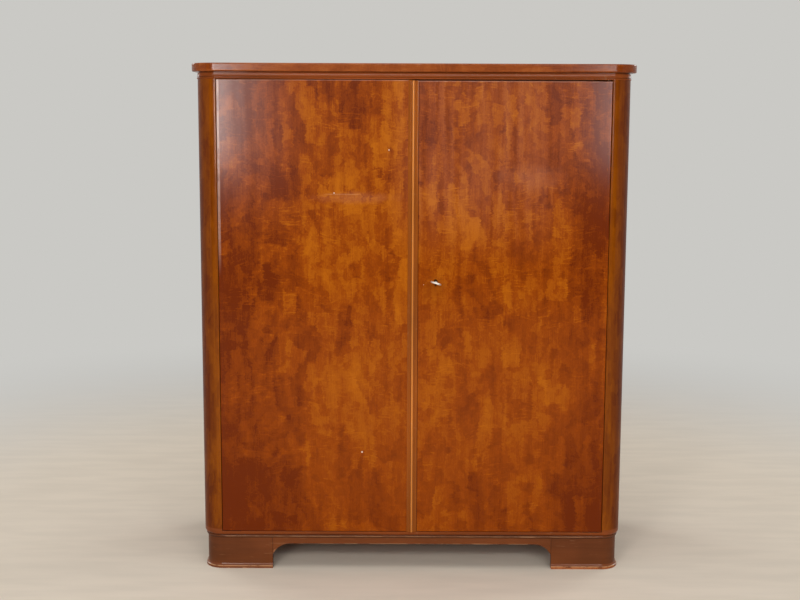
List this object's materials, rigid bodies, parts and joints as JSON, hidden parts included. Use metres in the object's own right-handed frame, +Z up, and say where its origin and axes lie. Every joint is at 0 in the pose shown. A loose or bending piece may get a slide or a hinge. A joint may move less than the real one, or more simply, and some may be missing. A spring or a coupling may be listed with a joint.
{
  "type": "wardrobe",
  "caption": "Free-standing two-door wardrobe in flamed birch veneer, with round corner posts, a moulded cornice, bracket feet and a lock with its key.",
  "frame": {"origin": "on the floor, at the centre of the overall box", "axes": "+Z up, the doors face -Y, +X is the wardrobe's right seen from the front"},
  "size_m": [1.5, 0.638, 1.747],
  "materials": {
    "flamed_birch": "flamed birch veneer, stained orange brown, french polished",
    "carcass_birch": "birch veneer, stained brown, french polished",
    "bead_birch": "solid birch bead, worn to a light orange",
    "plinth_birch": "birch, stained dark red brown, polished, edges worn",
    "inside_birch": "birch, thin clear lacquer",
    "softwood": "pine, unfinished",
    "back_plywood": "birch plywood, unfinished",
    "zinced_steel": "zinced steel, dulled",
    "nickel_steel": "nickelled steel, handled smooth"
  },
  "bodies": {
    "carcass": {"left_corner_post": "carcass_birch", "right_corner_post": "carcass_birch", "left_side_panel": "carcass_birch", "right_side_panel": "carcass_birch", "bottom_board": "carcass_birch", "cornice_front": "carcass_birch", "cornice_left": "carcass_birch", "cornice_right": "carcass_birch", "top_slab": "carcass_birch", "left_front_foot": "plinth_birch", "right_front_foot": "plinth_birch", "plinth_apron": "plinth_birch", "plinth_left_board": "plinth_birch", "plinth_right_board": "plinth_birch", "left_foot_moulding": "plinth_birch", "right_foot_moulding": "plinth_birch", "rear_foot_mouldings": "plinth_birch", "plinth_bead_frame": "plinth_birch", "top_board": "inside_birch", "centre_partition": "inside_birch", "hat_shelf": "inside_birch", "right_shelf_1": "inside_birch", "right_shelf_2": "inside_birch", "right_shelf_3": "inside_birch", "right_shelf_4": "inside_birch", "hanging_rail": "inside_birch", "back_stile": "inside_birch", "plinth_back_rail": "softwood", "plinth_glue_blocks": "softwood", "shelf_battens": "softwood", "top_door_stop": "softwood", "bottom_door_stop": "softwood", "left_back_panel": "back_plywood", "right_back_panel": "back_plywood", "hinge_frame_leaves": "zinced_steel", "hinge_frame_screws": "zinced_steel", "carcass_bolts": "zinced_steel", "bolt_strikes": "zinced_steel", "rail_sockets": "zinced_steel"},
    "left_door": {"left_door_panel": "flamed_birch", "left_door_strip": "carcass_birch", "left_hinge_door_leaves": "zinced_steel", "left_hinge_door_screws": "zinced_steel", "edge_bolt_plates": "zinced_steel", "lock_keeper": "zinced_steel", "keeper_screws": "zinced_steel"},
    "right_door": {"right_door_panel": "flamed_birch", "right_door_strip": "carcass_birch", "centre_bead": "bead_birch", "right_hinge_door_leaves": "zinced_steel", "right_hinge_door_screws": "zinced_steel", "lock_plate": "zinced_steel", "lock_case": "zinced_steel", "lock_spring": "zinced_steel", "lock_screws": "zinced_steel"},
    "top_bolt": {"top_edge_bolt": "zinced_steel"},
    "bottom_bolt": {"bottom_edge_bolt": "zinced_steel"},
    "lock_bolt_bar": {"lock_bolt": "zinced_steel"},
    "door_key": {"key": "nickel_steel"}
  },
  "joints": [
    {"name": "left_door_swing", "type": "hinge", "parent": "carcass", "child": "left_door", "pos_m": [-0.6475, -0.253, 0.135], "axis": [0, 0, -1], "range_deg": [0, 110]},
    {"name": "right_door_swing", "type": "hinge", "parent": "carcass", "child": "right_door", "pos_m": [0.6475, -0.253, 0.135], "axis": [0, 0, 1], "range_deg": [0, 110]},
    {"name": "top_bolt_slide", "type": "slide", "parent": "left_door", "child": "top_bolt", "axis": [0, 0, 1], "range_m": [0, 0.013]},
    {"name": "bottom_bolt_slide", "type": "slide", "parent": "left_door", "child": "bottom_bolt", "axis": [0, 0, -1], "range_m": [0, 0.013]},
    {"name": "key_turn", "type": "hinge", "parent": "right_door", "child": "door_key", "pos_m": [0.076, -0.261, 1.017], "axis": [0, -1, 0], "range_deg": [0, 214]},
    {"name": "lock_bolt_throw", "type": "slide", "parent": "right_door", "child": "lock_bolt_bar", "axis": [-1, 0, 0], "range_m": [0, 0.01195]}
  ],
  "couplings": [
    {"joint": "key_turn", "follows": "lock_bolt_throw", "rad_per_m": 312.5}
  ]
}
